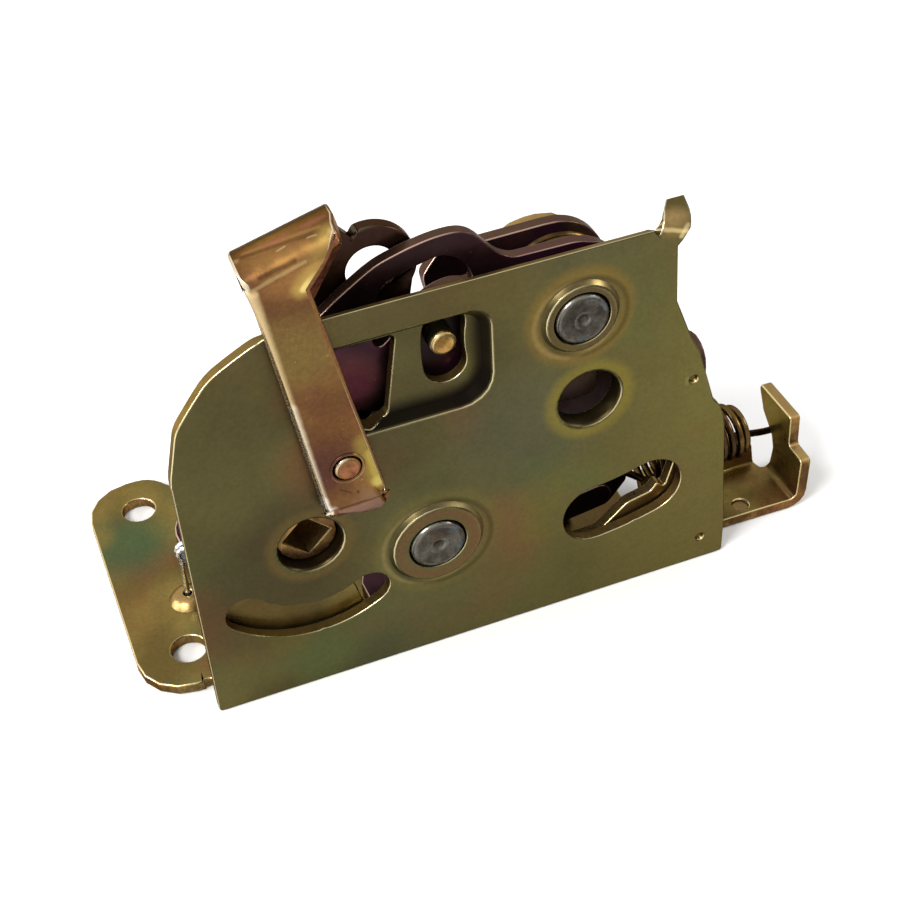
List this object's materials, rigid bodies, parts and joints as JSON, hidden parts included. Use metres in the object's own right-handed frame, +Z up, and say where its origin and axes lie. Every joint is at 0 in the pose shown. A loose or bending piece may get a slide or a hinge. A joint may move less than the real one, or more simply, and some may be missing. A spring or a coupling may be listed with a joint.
{
  "type": "car door lock",
  "caption": "Car door lock: pressed side plate on a folded screw flange base, with stepped outer lever, locking and inside levers, springs, forked claw and pawl.",
  "frame": {"origin": "midpoint between the two screw holes, on the underside of the screw flange", "axes": "+X along the lock away from the screw flange, +Y from the pressed side plate towards the claw, +Z up from the flange"},
  "size_m": [0.134, 0.0678, 0.0953],
  "materials": {
    "plate_zinc": "olive yellow passivated zinc, worn",
    "base_zinc": "golden yellow passivated zinc",
    "lever_zinc": "brass brown passivated zinc with bright worn edges",
    "inner_zinc": "dark purple brown passivated zinc",
    "pin_steel": "dull grey steel",
    "spring_zinc": "yellow passivated spring wire",
    "spring_wire": "bright spring wire"
  },
  "bodies": {
    "root": {"main_plate": "plate_zinc", "base_frame": "base_zinc", "rear_plate": "base_zinc", "rear_rivet_left": "pin_steel", "rear_rivet_right": "pin_steel", "upper_pivot_pin": "pin_steel", "lower_pivot_pin": "pin_steel", "upper_bush": "pin_steel", "upper_washer": "pin_steel", "lower_bush": "pin_steel", "claw_pin": "pin_steel", "pawl_pin": "pin_steel", "lever_spring": "spring_zinc", "main_spring": "spring_zinc", "follower_spring": "spring_wire", "claw_spring": "spring_wire", "pawl_spring": "spring_wire"},
    "outer_lever": {"outer_lever": "lever_zinc", "outer_lever_stud": "lever_zinc"},
    "locking_lever": {"locking_lever": "inner_zinc", "drive_pin": "lever_zinc"},
    "locking_follower": {"locking_follower": "base_zinc"},
    "inside_lever": {"inside_lever": "inner_zinc"},
    "release_link": {"release_link": "inner_zinc"},
    "claw": {"claw": "inner_zinc"},
    "pawl": {"pawl": "inner_zinc"}
  },
  "joints": [
    {"name": "outer_lever_hinge", "type": "hinge", "parent": "root", "child": "outer_lever", "pos_m": [0.0443, -0.0262, 0.0255], "axis": [0, 1, 0], "range_deg": [0, 14], "stiffness_Nm_per_rad": 0.3, "springref_deg": -20.05},
    {"name": "inside_lever_hinge", "type": "hinge", "parent": "root", "child": "inside_lever", "pos_m": [0.0715, -0.0215, 0.0655], "axis": [0, 1, 0], "range_deg": [0, 5], "deforming": ["main_spring"]},
    {"name": "release_link_hinge", "type": "hinge", "parent": "outer_lever", "child": "release_link", "pos_m": [0.0443, -0.0238, 0.008], "axis": [0, 1, 0], "range_deg": [-14.5, 0]},
    {"name": "pawl_hinge", "type": "hinge", "parent": "root", "child": "pawl", "pos_m": [0.0406, -0.0105, 0.0038], "axis": [0, 0, 1], "range_deg": [-16, 0]},
    {"name": "claw_hinge", "type": "hinge", "parent": "root", "child": "claw", "pos_m": [0.0136, 0.005, 0.0046], "axis": [0, 0, 1], "range_deg": [-60, 0], "stiffness_Nm_per_rad": 0.02, "springref_deg": 28.65},
    {"name": "locking_follower_hinge", "type": "hinge", "parent": "root", "child": "locking_follower", "pos_m": [0.0222, -0.029, 0.0333], "axis": [0, 1, 0], "range_deg": [-20, 20]},
    {"name": "locking_lever_hinge", "type": "hinge", "parent": "root", "child": "locking_lever", "pos_m": [0.0715, -0.029, 0.0655], "axis": [0, 1, 0], "range_deg": [-11.2, 11.2]}
  ],
  "couplings": [
    {"joint": "inside_lever_hinge", "follows": "outer_lever_hinge", "ratio": 0.3346},
    {"joint": "release_link_hinge", "follows": "outer_lever_hinge", "ratio": -1},
    {"joint": "pawl_hinge", "follows": "outer_lever_hinge", "ratio": -1.12},
    {"joint": "locking_lever_hinge", "follows": "locking_follower_hinge", "ratio": -0.5}
  ]
}
